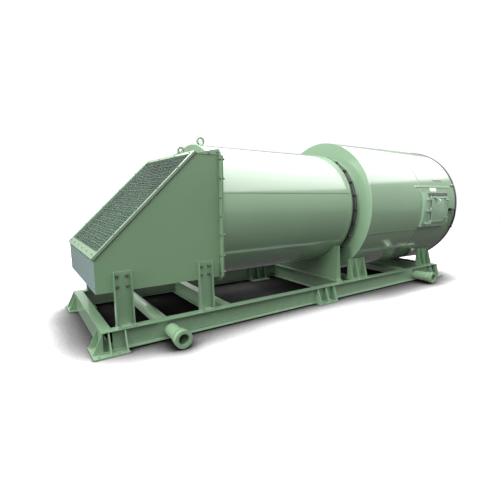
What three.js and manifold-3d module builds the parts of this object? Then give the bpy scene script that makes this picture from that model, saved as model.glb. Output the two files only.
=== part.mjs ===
// Skid-mounted industrial axial fan set, millimetres, +Z up.
// Air enters a box hood through a sloping wire screen, passes a round duct and a flexible
// connector into a larger drum that holds the motor and impeller, and leaves at the open rear end.
import * as THREE from 'three';
import { mergeVertices } from 'three/addons/utils/BufferGeometryUtils.js';
import Module from 'manifold-3d';

const wasm = await Module();
wasm.setup();
const rad = THREE.MathUtils.degToRad;

// ---------------------------------------------------------------- driving dimensions
// X runs along the set from the front end of the skid, Y across it, Z up from the ground.
const gap = 0.3;                  // clearance between neighbouring pieces
const footPlate = 15;             // thickness of the plates on the ground
const skidLength = 5675;
const skidHalfWidth = 851;
const beamHeight = 200;
const beamWidth = 100;
const beamFlange = 11;
const beamWeb = 9;
const beamBottom = footPlate + gap;
const deck = beamBottom + beamHeight;             // top face of the skid
const webCentre = skidHalfWidth - beamWidth / 2;  // centre of each long beam
const beamInner = skidHalfWidth - beamWidth;      // inner flange edge of a long beam

const axisHeight = 1229;          // common axis of hood outlet, duct, drum and fan
const ringSides = 48;             // facets of the large round pieces

const hoodFront = -5;
const hoodBack = 1281;
const hoodHalfWidth = 734;
const hoodBottom = 542;
const hoodTop = 1914;
const hoodSideTop = 1850;         // side sheets end here and the roof cap begins
const hoodNose = 846;             // height of the front edge where the slope starts
const roofFront = 1858;           // front edge of the roof, which rises towards the flange
const sheet = 5;                  // sheet thickness of the hood
const screenSlope = rad(44.33);

const plateThickness = 10;
const ductRadius = 804;
const ductFront = hoodBack + gap + 2 * (plateThickness + gap);
const ductRear = 3363;
const shell = 6;                  // wall of duct and drum
const drumRadius = 999;
const drumFront = 3531;
const drumSeam = 4775;            // joint between the two drum sections
const drumRear = 5872;
const airwayRadius = 715;         // opening in the drum's front plate
const collarRadius = 785;

const fanBore = 694;              // inside of the fan casing
const fanCasingRear = 4700;
const hubRadius = 300;
const hubFront = 3800;
const hubRear = 3990;
const bladeTip = 682;
const bladeCount = 8;
const motorFront = 4200;
const motorRear = 5240;
const motorRadius = 292;

const doorLeft = 4781;
const doorRight = 5520;
const doorFace = 1038;            // outer radius of the raised door frame
const doorLow = -16.8;            // frame's lower and upper edges, degrees round the drum
const doorHigh = 13.7;
const leafLeft = 4955;
const leafRight = 5486;
const leafLow = -13.5;
const leafHigh = 10.3;
const leafFace = 1047;
const hingeX = 4934;
const hingeY = -1062;
const hingeHeights = [1010, 1210, 1390];

// ---------------------------------------------------------------- shape helpers
function box([x0, x1], [y0, y1], [z0, z1]) {
  const geometry = new THREE.BoxGeometry(x1 - x0, y1 - y0, z1 - z0);
  return geometry.translate((x0 + x1) / 2, (y0 + y1) / 2, (z0 + z1) / 2);
}

function outline(points) {
  return new THREE.Shape(points.map(([u, v]) => new THREE.Vector2(u, v)));
}

// A flat shape pushed along an axis: its own two coordinates are the other two axes in X, Y, Z order.
function prism(shape, axis, from, to) {
  const flat = Array.isArray(shape) ? outline(shape) : shape;
  const options = { depth: to - from, bevelEnabled: false, curveSegments: 12 };
  const geometry = new THREE.ExtrudeGeometry(flat, options);
  const frame = new THREE.Matrix4();
  if (axis === 'x') {
    frame.makeBasis(new THREE.Vector3(0, 1, 0), new THREE.Vector3(0, 0, 1), new THREE.Vector3(1, 0, 0));
    frame.setPosition(from, 0, 0);
  } else if (axis === 'y') {
    frame.makeBasis(new THREE.Vector3(1, 0, 0), new THREE.Vector3(0, 0, 1), new THREE.Vector3(0, -1, 0));
    frame.setPosition(0, to, 0);
  } else {
    frame.setPosition(0, 0, from);
  }
  return geometry.applyMatrix4(frame);
}

function arcPoints(u, v, radius, startDeg, endDeg, steps) {
  return Array.from({ length: steps + 1 }, (_, i) => {
    const angle = rad(startDeg + (endDeg - startDeg) * i / steps);
    return [u + radius * Math.cos(angle), v + radius * Math.sin(angle)];
  });
}

// A closed (radius, station) profile turned about its axis.
function turned(profile, sides) {
  const area = profile.reduce((sum, [r, s], i) => {
    const [nextR, nextS] = profile[(i + 1) % profile.length];
    return sum + r * nextS - nextR * s;
  }, 0);
  const points = area > 0 ? profile : [...profile].reverse();
  const vectors = points.map(([r, s]) => new THREE.Vector2(r, s));
  if (points.every(([r]) => r > 0)) {
    vectors.push(vectors[0].clone());
  }
  return new THREE.LatheGeometry(vectors, sides);
}

// The same, lying along X at the height of the fan's axis.
function turnedOnAxis(profile, sides = ringSides) {
  return turned(profile, sides).rotateZ(-Math.PI / 2).translate(0, 0, axisHeight);
}

function tubeOnAxis(outer, inner, from, to) {
  return turnedOnAxis([[outer, from], [outer, to], [inner, to], [inner, from]]);
}

function rod(radius, sides, axis, from, to, a, b) {
  const geometry = new THREE.CylinderGeometry(radius, radius, to - from, sides);
  geometry.translate(0, (from + to) / 2, 0);
  if (axis === 'x') {
    return geometry.rotateZ(-Math.PI / 2).translate(0, a, b);
  }
  if (axis === 'z') {
    return geometry.rotateX(Math.PI / 2).translate(a, b, 0);
  }
  return geometry.translate(a, 0, b);
}

// Part of a ring round the fan's axis on the near side, between two angles above the horizontal.
function sector(outer, inner, lowDeg, highDeg, from, to, steps = 8) {
  const arc = (radius, start, end) => Array.from({ length: steps + 1 }, (_, i) => {
    const angle = rad(start + (end - start) * i / steps);
    return [-radius * Math.cos(angle), axisHeight + radius * Math.sin(angle)];
  });
  return prism([...arc(outer, lowDeg, highDeg), ...arc(inner, highDeg, lowDeg)], 'x', from, to);
}

function mirrored(geometry) {
  const copy = geometry.index ? geometry.toNonIndexed() : geometry.clone();
  copy.scale(1, -1, 1);
  const position = copy.attributes.position;
  for (let i = 0; i < position.count; i += 3) {
    const first = new THREE.Vector3().fromBufferAttribute(position, i);
    const last = new THREE.Vector3().fromBufferAttribute(position, i + 2);
    position.setXYZ(i, last.x, last.y, last.z);
    position.setXYZ(i + 2, first.x, first.y, first.z);
  }
  return copy;
}

// ---------------------------------------------------------------- solid helpers
function toSolid(geometry) {
  const bare = geometry.clone();
  bare.deleteAttribute('normal');
  bare.deleteAttribute('uv');
  const merged = mergeVertices(bare, 1e-3);
  const vertProperties = merged.attributes.position.array;
  const triVerts = new Uint32Array(merged.index.array);
  return new wasm.Manifold(new wasm.Mesh({ numProp: 3, vertProperties, triVerts }));
}

function toGeometry(solid) {
  const mesh = solid.getMesh();
  const geometry = new THREE.BufferGeometry();
  geometry.setAttribute('position', new THREE.BufferAttribute(mesh.vertProperties, 3));
  geometry.setIndex(new THREE.BufferAttribute(mesh.triVerts, 1));
  geometry.computeVertexNormals();
  return geometry;
}

function join(...geometries) {
  return toGeometry(geometries.map(toSolid).reduce((all, next) => all.add(next)));
}

function cut(geometry, ...tools) {
  return toGeometry(tools.map(toSolid).reduce((left, tool) => left.subtract(tool), toSolid(geometry)));
}

// ---------------------------------------------------------------- finishes
const finishes = {
  paint: { color: 0x6f9474, roughness: 0.3, metalness: 0.0 },
  panel: { color: 0x8fa9a9, roughness: 0.35, metalness: 0.0 },
  screen: { color: 0x7d9482, roughness: 0.4, metalness: 0.4 },
  rubber: { color: 0x2b2a30, roughness: 0.7, metalness: 0.0 },
  inner: { color: 0x565b5a, roughness: 0.5, metalness: 0.3 },
  motor: { color: 0x3f5f78, roughness: 0.45, metalness: 0.0 },
  cast: { color: 0x9aa0a4, roughness: 0.4, metalness: 0.8 },
  steel: { color: 0xb5b8ba, roughness: 0.35, metalness: 0.9 },
};

const fan = new THREE.Group();
const set = new THREE.Group();

function add(name, finish, geometry) {
  const mesh = new THREE.Mesh(geometry, new THREE.MeshStandardMaterial(finishes[finish]));
  mesh.name = name;
  set.add(mesh);
}

function addPair(name, finish, nearGeometry) {
  add(`${name}_near`, finish, nearGeometry);
  add(`${name}_far`, finish, mirrored(nearGeometry));
}

// ---------------------------------------------------------------- skid
function beamProfile(centre) {
  const outer = beamWidth / 2;
  const web = beamWeb / 2;
  const low = beamBottom + beamFlange;
  const high = deck - beamFlange;
  return [
    [centre - outer, beamBottom], [centre + outer, beamBottom], [centre + outer, low],
    [centre + web, low], [centre + web, high], [centre + outer, high], [centre + outer, deck],
    [centre - outer, deck], [centre - outer, high], [centre - web, high], [centre - web, low],
    [centre - outer, low],
  ];
}

const tubeStations = { front: 662, rear: 5041 };
const tubeHeight = 98;
const tubeRadius = 70;
const tubeBore = 52.5;
const tubeEnd = 1140;
const tubeSides = 24;

function longBeam() {
  const profile = beamProfile(-webCentre);
  const beam = prism(profile, 'x', beamWidth + gap, skidLength - beamWidth - gap);
  const holes = Object.values(tubeStations).map((station) => (
    rod(tubeRadius + 1, tubeSides, 'y', -webCentre - 40, -webCentre + 40, station, tubeHeight)
  ));
  return cut(beam, ...holes);
}

// The end beams are channels with a flat outer face.
function endBeam(outerX, inward) {
  const face = outerX + inward * beamWeb;
  const lip = outerX + inward * beamWidth;
  const low = beamBottom + beamFlange;
  const high = deck - beamFlange;
  const profile = [
    [outerX, beamBottom], [lip, beamBottom], [lip, low], [face, low],
    [face, high], [lip, high], [lip, deck], [outerX, deck],
  ];
  const ordered = inward > 0 ? profile : profile.reverse();
  return prism(ordered, 'y', -skidHalfWidth, skidHalfWidth);
}

function crossBeam(front) {
  return prism(beamProfile(front + beamWidth / 2), 'y', -beamInner + gap, beamInner - gap);
}

addPair('long_beam', 'paint', longBeam());
add('end_beam_front', 'paint', endBeam(0, 1));
add('end_beam_rear', 'paint', endBeam(skidLength, -1));

const crossStations = { hood: 1302, saddle: 3180, drum_front: 3575, drum_rear: 5365 };
for (const [place, front] of Object.entries(crossStations)) {
  add(`cross_beam_${place}`, 'paint', crossBeam(front));
}

// Lifting tubes pass through both long beams and carry two collars at each end.
function liftingTube(station) {
  const collars = [[1030, 1056, 81], [1086, tubeEnd, 89]];
  const half = collars.flatMap(([from, to, radius]) => (
    [[tubeRadius, from], [radius, from], [radius, to], [tubeRadius, to]]
  )).slice(0, -1);
  const mirroredHalf = half.map(([radius, place]) => [radius, -place]).reverse();
  const bore = [[tubeBore, tubeEnd], [tubeBore, -tubeEnd]];
  return turned([...mirroredHalf, ...half, ...bore], tubeSides).translate(station, 0, tubeHeight);
}

for (const [place, station] of Object.entries(tubeStations)) {
  add(`lifting_tube_${place}`, 'paint', liftingTube(station));
}

// Each foot is a ground plate with triangular gussets that brace the beam.
const footInner = 610;
const footOuter = 930;
const gusset = 12;
const gussetTop = deck - beamFlange - 4;

function sideGusset(centre) {
  const profile = [
    [-footOuter + 8, footPlate - 1], [-skidHalfWidth - gap, footPlate - 1],
    [-skidHalfWidth - gap, beamBottom + beamFlange + gap],
    [-webCentre - beamWeb / 2 - gap, beamBottom + beamFlange + gap],
    [-webCentre - beamWeb / 2 - gap, gussetTop], [-skidHalfWidth + 2, gussetTop],
    [-footOuter + 8, footPlate + 8],
  ];
  return prism(profile, 'x', centre - gusset / 2, centre + gusset / 2);
}

function innerGusset(centre) {
  const flipped = mirrored(sideGusset(centre));
  return flipped.translate(0, -2 * webCentre, 0);
}

function endGusset(centreY, outerX, outward) {
  const root = outerX + outward * gap;
  const tip = outerX + outward * 82;
  const low = footPlate - 1;
  const profile = [[root, low], [root, gussetTop], [tip, footPlate + 8], [tip, low]];
  const ordered = outward > 0 ? profile.reverse() : profile;
  return prism(ordered, 'y', centreY - gusset / 2, centreY + gusset / 2);
}

function footHoles(stations) {
  return stations.map((station) => rod(13, 10, 'z', -1, footPlate + 1, station, -footOuter + 28));
}

function cornerFoot(outerX, inward) {
  const ends = [outerX - inward * 90, outerX + inward * 230].sort((a, b) => a - b);
  const sides = [outerX + inward * 62, outerX + inward * 208];
  const holes = [outerX - inward * 40, outerX + inward * 135];
  const body = join(
    box(ends, [-footOuter, -footInner], [0, footPlate]),
    ...sides.map(sideGusset),
    ...[-skidHalfWidth + 8, -footInner - 40].map((y) => endGusset(y, outerX, -inward)),
  );
  return cut(body, ...footHoles(holes));
}

function middleFoot() {
  const ends = [2680, 3020];
  const stations = [ends[0] + 20, (ends[0] + ends[1]) / 2, ends[1] - 20];
  const body = join(
    box(ends, [-footOuter, -footInner], [0, footPlate]),
    ...stations.map(sideGusset),
    ...stations.map(innerGusset),
  );
  return cut(body, ...footHoles([ends[0] + 90, ends[1] - 90]));
}

addPair('foot_front', 'paint', cornerFoot(0, 1));
addPair('foot_middle', 'paint', middleFoot());
addPair('foot_rear', 'paint', cornerFoot(skidLength, -1));

// ---------------------------------------------------------------- hood and its legs
const legThickness = 8;
const legHeight = 732;

function leg(front, back) {
  const root = -hoodHalfWidth - gap;
  const flange = [
    [root, deck + gap], [root - 70, deck + gap], [root - 70, deck + 40],
    [root - 35, legHeight], [root, legHeight],
  ];
  return join(
    box([front, back], [root - legThickness, root], [deck + gap, legHeight]),
    prism(flange, 'x', front, front + legThickness),
    prism(flange, 'x', back - legThickness, back),
    box([front - 4, back + 4], [-skidHalfWidth + 6, root - 1], [deck + gap, deck + 12]),
  );
}

addPair('hood_leg_front', 'paint', leg(150, 318));
addPair('hood_leg_rear', 'paint', leg(1014, 1175));

const slopeStart = [hoodFront, hoodNose];
function slopeX(height) {
  return slopeStart[0] + (height - slopeStart[1]) / Math.tan(screenSlope);
}

const sideOutline = [
  [hoodFront, hoodBottom], [hoodBack, hoodBottom], [hoodBack, hoodSideTop],
  [slopeX(hoodSideTop), hoodSideTop], slopeStart,
];
addPair('hood_side', 'paint', prism(sideOutline, 'y', -hoodHalfWidth, -hoodHalfWidth + sheet));

const hoodInner = hoodHalfWidth - sheet - gap;
add('hood_front_panel', 'panel', box([hoodFront, 0], [-hoodInner, hoodInner], [hoodBottom, hoodNose - 5]));
add('hood_floor', 'paint', box([gap, hoodBack], [-hoodInner, hoodInner], [hoodBottom, hoodBottom + sheet]));

// The roof rises towards the flange and folds down over both side sheets.
const roofStart = slopeX(roofFront);
function roofHeight(station) {
  return roofFront + sheet + (station - roofStart) * (hoodTop - sheet - roofFront) / (hoodBack - roofStart);
}

function hoodRoof() {
  const lip = hoodHalfWidth + gap + sheet;
  const low = hoodSideTop + gap;
  const highEnd = roofHeight(hoodBack);
  const top = [
    [roofStart, roofFront], [hoodBack, highEnd - sheet], [hoodBack, highEnd], [roofStart, roofFront + sheet],
  ];
  const fold = [
    [roofStart, low], [hoodBack, low], [hoodBack, highEnd - 2], [roofStart, roofFront + sheet - 2],
  ];
  return join(
    prism(top, 'y', -lip, lip),
    prism(fold, 'y', -lip, -lip + sheet),
    prism(fold, 'y', lip - sheet, lip),
  );
}
add('hood_roof', 'paint', hoodRoof());

// Bolting flange of the hood and the matching end plate of the duct.
const flangeHalf = 797;
const flangeLow = 497;
const flangeOutline = [
  [-736, flangeLow], [736, flangeLow], [flangeHalf, flangeLow + 60], [flangeHalf, 1840],
  [736, hoodTop], [-736, hoodTop], [-flangeHalf, 1840], [-flangeHalf, flangeLow + 60],
];

function hoodFlange() {
  const shape = outline(flangeOutline);
  const opening = [[-700, 575], [-700, 1880], [700, 1880], [700, 575]];
  shape.holes.push(outline(opening));
  return prism(shape, 'x', hoodBack + gap, hoodBack + gap + plateThickness);
}

function ductFrontPlate() {
  const from = hoodBack + 2 * gap + plateThickness;
  const to = from + plateThickness;
  const disc = rod(ductRadius + 3, ringSides, 'x', from, to, 0, axisHeight);
  const bore = rod(fanBore - 14, ringSides, 'x', from - 5, to + 5, 0, axisHeight);
  return cut(join(prism(flangeOutline, 'x', from, to), disc), bore);
}
add('hood_flange', 'paint', hoodFlange());
add('duct_front_plate', 'paint', ductFrontPlate());

// Screen frame and mesh lie in the slope, clear of the side sheets. Their own coordinates run
// up the slope from the nose and outwards from it.
const screenLength = (roofFront - slopeStart[1]) / Math.sin(screenSlope);
const frameDepth = 30;
const sideBar = 40;
const bottomBar = 84;
const topBar = 42;

function onSlope(geometry) {
  return geometry.rotateY(-screenSlope).translate(slopeStart[0], 0, slopeStart[1]);
}

function screenFrame() {
  const outer = box([4, screenLength], [-hoodHalfWidth, hoodHalfWidth], [2, 2 + frameDepth]);
  const across = hoodHalfWidth - sideBar;
  const inner = box([bottomBar, screenLength - topBar], [-across, across], [-5, 60]);
  return onSlope(cut(outer, inner));
}

function inletScreen() {
  const run = [bottomBar + gap, screenLength - topBar - gap];
  const across = hoodHalfWidth - sideBar - gap;
  return onSlope(box(run, [-across, across], [10, 22]));
}
add('screen_frame', 'paint', screenFrame());
add('inlet_screen', 'screen', inletScreen());

// Lifting points: a plate lug on the hood and a ring bolt on the duct.
function liftingLug() {
  const station = 1178;
  const half = 72;
  const base = roofHeight(station + half) + gap;
  const eye = hoodTop + 48;
  const ear = [
    [station - half + 6, base + 7], [station + half - 6, base + 7],
    ...arcPoints(station, eye, 44, -20, 200, 10),
  ];
  const pad = [
    [station - half, roofHeight(station - half) + gap], [station + half, base],
    [station + half, base + 8], [station - half, base + 8],
  ];
  const hole = rod(24, 16, 'y', -20, 20, station, eye);
  return cut(join(prism(ear, 'y', -8, 8), prism(pad, 'y', -45, 45)), hole);
}

function liftingEye() {
  const station = 1439;
  const seat = axisHeight + ductRadius + gap;
  const ring = new THREE.TorusGeometry(42, 12, 8, 20).rotateX(Math.PI / 2);
  return join(
    ring.translate(station, 0, seat + 60),
    rod(26, 16, 'z', seat, seat + 22, station, 0),
  );
}
add('lifting_lug_hood', 'paint', liftingLug());
add('lifting_eye_duct', 'paint', liftingEye());

// ---------------------------------------------------------------- duct, saddle and connector
add('duct_shell', 'paint', tubeOnAxis(ductRadius, ductRadius - shell, ductFront, ductRear - 12 - gap));
add('duct_rear_plate', 'paint', tubeOnAxis(ductRadius, airwayRadius, ductRear - 12, ductRear));

function ductSaddle() {
  const half = 714;
  const foot = deck + gap + 15;
  const cradle = ductRadius + 1.5;
  const top = 726;
  const meet = Math.asin((axisHeight - top) / cradle);
  const steps = 16;
  const arc = Array.from({ length: steps + 1 }, (_, i) => {
    const angle = meet + (Math.PI - 2 * meet) * i / steps;
    return [cradle * Math.cos(angle), axisHeight - cradle * Math.sin(angle)];
  });
  const web = [[-half, foot - 1], [half, foot - 1], [half, top], ...arc, [-half, top]];
  const flange = [[3180, foot - 1], [3272, foot - 1], [3226, top], [3194, top]];
  return join(
    prism(web, 'x', 3200, 3212),
    prism(flange, 'y', -half - 12, -half),
    prism(flange, 'y', half, half + 12),
    box([3172, 3288], [-beamInner + 2, beamInner - 2], [deck + gap, foot]),
  );
}
add('duct_saddle', 'paint', ductSaddle());

const collarFront = drumFront - gap - 26;
function connector() {
  const from = ductRear + gap;
  const to = collarFront - gap;
  const step = (to - from) / 4;
  const crest = 768;
  const root = 742;
  return turnedOnAxis([
    [crest, from], [crest, from + 14], [root, from + step], [crest - 6, from + 2 * step],
    [root, from + 3 * step], [crest, to - 14], [crest, to], [root - 8, to],
    [root - 12, from + 3 * step], [root + 12, from + 2 * step], [root - 12, from + step], [root - 8, from],
  ]);
}
add('flexible_connector', 'rubber', connector());
add('inlet_collar', 'paint', tubeOnAxis(collarRadius, airwayRadius, collarFront, drumFront - gap));

// ---------------------------------------------------------------- drum
add('drum_front_plate', 'paint', tubeOnAxis(drumRadius, airwayRadius, drumFront, drumFront + 12));
const frontShellStart = drumFront + 12 + gap;
add('drum_front_shell', 'paint', tubeOnAxis(drumRadius, drumRadius - shell, frontShellStart, drumSeam));

const ringFront = drumRear - 52;

// The hole behind the door, as a tool that cuts from one radius to another.
function doorway(outer, inner) {
  const edge = 1.5;
  const rebate = 30;
  return sector(outer, inner, leafLow + edge, leafHigh - edge, leafLeft + rebate, leafRight - rebate);
}

function drumRearShell() {
  const tube = tubeOnAxis(drumRadius, drumRadius - shell, drumSeam + gap, ringFront - gap);
  return cut(tube, doorway(drumRadius + 20, drumRadius - 40));
}
add('drum_rear_shell', 'paint', drumRearShell());
add('outlet_ring', 'rubber', tubeOnAxis(drumRadius + 6, drumRadius - 30, ringFront, drumRear));

function drumFoot(from, to) {
  const base = deck + gap;
  const top = axisHeight - Math.sqrt(drumRadius ** 2 - 690 ** 2) - 3;
  const rib = [
    [-795, base + 11], [-795, base + 20], [-712, top + 8], [-701, top], [-701, base + 11],
  ];
  const stations = [from + 10, from + 150, to - 30];
  return join(
    box([from, to], [-skidHalfWidth + 20, -640], [base, base + 12]),
    box([from + 6, to - 20], [-702, -690], [base + 11, top]),
    ...stations.map((station) => prism(rib, 'x', station, station + 12)),
  );
}
addPair('drum_foot_front', 'paint', drumFoot(3444, 3802));
addPair('drum_foot_rear', 'paint', drumFoot(5235, 5590));

// ---------------------------------------------------------------- fan inside the drum
function fanCasing() {
  const mouth = frontShellStart + 6;
  return turnedOnAxis([
    [airwayRadius + 4, mouth], [fanBore + 6, mouth + 90], [fanBore + 6, fanCasingRear],
    [fanBore, fanCasingRear], [fanBore, mouth + 90], [airwayRadius - 2, mouth],
  ]);
}

// Six straight vanes behind the impeller stand between a short inner ring and the casing.
const vaneRing = 330;
const vaneCount = 6;
function guideVanes() {
  const tip = fanBore * Math.cos(Math.PI / ringSides) - 2;
  const vanes = Array.from({ length: vaneCount }, (_, i) => (
    box([4260, 4560], [-5, 5], [vaneRing - 3, tip])
      .rotateX((i + 0.5) * 2 * Math.PI / vaneCount).translate(0, 0, axisHeight)
  ));
  return join(tubeOnAxis(vaneRing, vaneRing - 6, 4240, 4580), ...vanes);
}
add('fan_casing', 'inner', fanCasing());
add('guide_vanes', 'inner', guideVanes());
const diaphragm = [fanCasingRear - 60, fanCasingRear - 50];
add('casing_diaphragm', 'inner', tubeOnAxis(drumRadius - shell - 2, fanBore + 6 + 2, ...diaphragm));

function impeller() {
  const hub = rod(hubRadius, 32, 'x', hubFront, hubRear, 0, axisHeight);
  const pitch = rad(52);
  const middle = (hubFront + hubRear) / 2;
  const blades = Array.from({ length: bladeCount }, (_, i) => (
    box([-75, 75], [-6, 6], [hubRadius - 20, bladeTip])
      .rotateZ(pitch).translate(middle, 0, 0)
      .rotateX(i * 2 * Math.PI / bladeCount).translate(0, 0, axisHeight)
  ));
  return join(hub, ...blades);
}
add('impeller', 'cast', impeller());

function noseCone() {
  const back = hubFront - gap;
  const length = 170;
  const steps = 6;
  const curve = Array.from({ length: steps + 1 }, (_, i) => {
    const angle = (Math.PI / 2) * i / steps;
    return [hubRadius * Math.sin(angle), back - length * Math.cos(angle)];
  });
  return turnedOnAxis([...curve, [0, back]], 32);
}
add('nose_cone', 'cast', noseCone());
add('motor_shaft', 'steel', rod(48, 20, 'x', hubRear + gap, motorFront - gap, 0, axisHeight));

function motor() {
  const body = turnedOnAxis([
    [0, motorFront], [150, motorFront], [170, motorFront + 40], [motorRadius, motorFront + 70],
    [motorRadius, motorRear - 220], [motorRadius + 14, motorRear - 218], [motorRadius + 14, motorRear - 40],
    [motorRadius - 50, motorRear], [0, motorRear],
  ], 32);
  const terminalBox = box([4760, 5000], [-470, -240], [axisHeight - 110, axisHeight + 130]);
  return join(body, terminalBox);
}
add('motor', 'motor', motor());

function motorPedestal() {
  const seat = axisHeight - motorRadius - 16;
  const floor = drumRadius - shell - 3;
  const arc = (half, steps) => Array.from({ length: steps + 1 }, (_, i) => {
    const y = -half + 2 * half * i / steps;
    return [y, axisHeight - Math.sqrt((floor * Math.cos(rad(180 / ringSides))) ** 2 - y ** 2)];
  });
  const upright = [...arc(330, 6), [250, seat - 19], [-250, seat - 19]];
  const plates = [4740, 4960].map((station) => prism(upright, 'x', station, station + 20));
  return join(
    box([4725, 5000], [-270, 270], [seat - 20, seat]),
    box([4735, 4985], [-10, 10], [300, seat - 10]),
    ...plates,
  );
}
add('motor_pedestal', 'inner', motorPedestal());

// ---------------------------------------------------------------- access door
const knuckleRadius = 13;
const pinRadius = 7;
const pinClearance = 0.4;
const knuckleHeight = 30;

function knuckle(low, reach) {
  const bar = box(
    reach < 0 ? [hingeX + reach, hingeX] : [hingeX, hingeX + reach],
    [hingeY - 5, hingeY + 5],
    [low, low + knuckleHeight],
  );
  return join(rod(knuckleRadius, 14, 'z', low, low + knuckleHeight, hingeX, hingeY), bar);
}

function hingeHole() {
  const from = hingeHeights[0] - 100;
  const to = hingeHeights.at(-1) + 100;
  return rod(pinRadius + pinClearance, 12, 'z', from, to, hingeX, hingeY);
}

function surfaceY(radius, height) {
  return -Math.sqrt(radius ** 2 - (height - axisHeight) ** 2);
}

// Depth of a round surface at the part of a knuckle's height that is nearest to the axis.
function knuckleRoot(radius, low) {
  const nearest = THREE.MathUtils.clamp(axisHeight, low, low + knuckleHeight);
  return surfaceY(radius, nearest);
}

function doorFrame() {
  const foot = drumRadius + 1.5;
  const blank = sector(doorFace, foot, doorLow, doorHigh, doorLeft, doorRight);
  const frame = cut(blank, doorway(doorFace + 20, foot - 20));
  const brackets = hingeHeights.flatMap((height) => {
    const low = height - knuckleHeight - 1;
    const root = knuckleRoot(doorFace - 8, low);
    const arm = box([hingeX - 70, hingeX - 60], [hingeY - 5, root], [low, low + knuckleHeight]);
    return [knuckle(low, -70), arm];
  });
  return cut(join(frame, ...brackets), hingeHole());
}

function doorLeaf() {
  const panel = sector(leafFace, doorFace + 1.5, leafLow, leafHigh, leafLeft, leafRight);
  const knuckles = hingeHeights.flatMap((height) => {
    const low = height + 1;
    const root = knuckleRoot(leafFace - 5, low);
    const arm = box([hingeX + 36, hingeX + 46], [hingeY - 5, root], [low, low + knuckleHeight]);
    return [knuckle(low, 46), arm];
  });
  const grip = new THREE.CatmullRomCurve3([
    new THREE.Vector3(5140, -1042, 1370), new THREE.Vector3(5140, -1080, 1368),
    new THREE.Vector3(5140, -1092, 1352), new THREE.Vector3(5140, -1092, 1298),
    new THREE.Vector3(5140, -1082, 1282), new THREE.Vector3(5140, -1044, 1280),
  ]);
  const section = new THREE.Shape().absarc(0, 0, 8, 0, 2 * Math.PI);
  const options = { steps: 12, bevelEnabled: false, curveSegments: 4, extrudePath: grip };
  const handle = new THREE.ExtrudeGeometry(section, options);
  return cut(join(panel, ...knuckles, handle), hingeHole());
}
add('door_frame', 'paint', doorFrame());
add('door_leaf', 'paint', doorLeaf());
const pinEnds = [hingeHeights[0] - 45, hingeHeights.at(-1) + 45];
add('door_hinge_pin', 'steel', rod(pinRadius, 12, 'z', ...pinEnds, hingeX, hingeY));

// Two turning lever latches on the free edge of the door, each on a short boss.
const latchX = 5448;
const latchHeights = [1352, 1066];
function latch(height) {
  const face = surfaceY(leafFace, height) - 12;
  const nearAxis = height + 10 * Math.sign(axisHeight - height);
  return join(
    rod(11, 12, 'y', face - 2, surfaceY(leafFace, nearAxis) - 0.6, latchX, height),
    rod(16, 14, 'y', face - 22, face, latchX, height),
    box([latchX - 11, latchX + 11], [face - 22, face - 10], [height - 92, height + 8]),
  );
}
add('door_latch_upper', 'paint', latch(latchHeights[0]));
add('door_latch_lower', 'paint', latch(latchHeights[1]));

// Stiff supply cable between two glands on the drum wall. It leaves one towards the outlet and
// turns down in a wide bow, at a steady distance from the wall, into the other.
const cableRadius = 11;
const cableOffset = 1032;
const bowRadius = 100;
const cableTop = 1191;
const cableBottom = 905;
const bowStart = 5690;

// A block on the drum wall that the cable runs into at the given height.
function gland(front, back, low, high, cableHeight) {
  const wall = (height) => surfaceY(drumRadius + 1.5, height);
  const face = surfaceY(cableOffset, cableHeight) - 18;
  return prism([[face, low], [wall(low), low], [wall(high), high], [face, high]], 'x', front, back);
}

function supplyCable() {
  const bowEnd = bowStart + bowRadius;
  const at = (station, height) => new THREE.Vector3(station, surfaceY(cableOffset, height), height);
  const bow = arcPoints(bowStart, cableTop - bowRadius, bowRadius, 90, 0, 8);
  const run = [cableTop - bowRadius - 60, cableTop - bowRadius - 120, cableBottom];
  const path = new THREE.CatmullRomCurve3([
    at(bowStart - 18, cableTop), ...bow.map(([station, height]) => at(station, height)),
    ...run.map((height) => at(bowEnd, height)),
  ]);
  const section = new THREE.Shape().absarc(0, 0, cableRadius, 0, 2 * Math.PI);
  const options = { steps: 24, bevelEnabled: false, curveSegments: 4, extrudePath: path };
  return join(
    new THREE.ExtrudeGeometry(section, options),
    gland(5604, bowStart - 12, cableTop - 20, cableTop + 20, cableTop),
    gland(bowEnd - 18, bowEnd + 18, cableBottom - 30, cableBottom + 10, cableBottom),
  );
}
add('supply_cable', 'rubber', supplyCable());

// The origin is under the middle of the whole set.
const frontEnd = -90;
set.position.x = -(frontEnd + drumRear) / 2;
fan.add(set);

export default fan;
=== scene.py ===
# %% [markdown]
# # An industrial fan set on a skid
# The real object draws air in through a sloping wire screen, leads it along a round duct and blows it
# out of a larger drum, which holds the fan and its motor. Everything stands on a frame of welded
# beams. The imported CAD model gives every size, so this lesson only adds what makes steel look like
# steel: rounded edges, seams, bolts, a real wire mesh and a coat of gloss paint.

# %% Load the frame
import math

import bmesh
import bpy
from mathutils import Matrix, Vector


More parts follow.
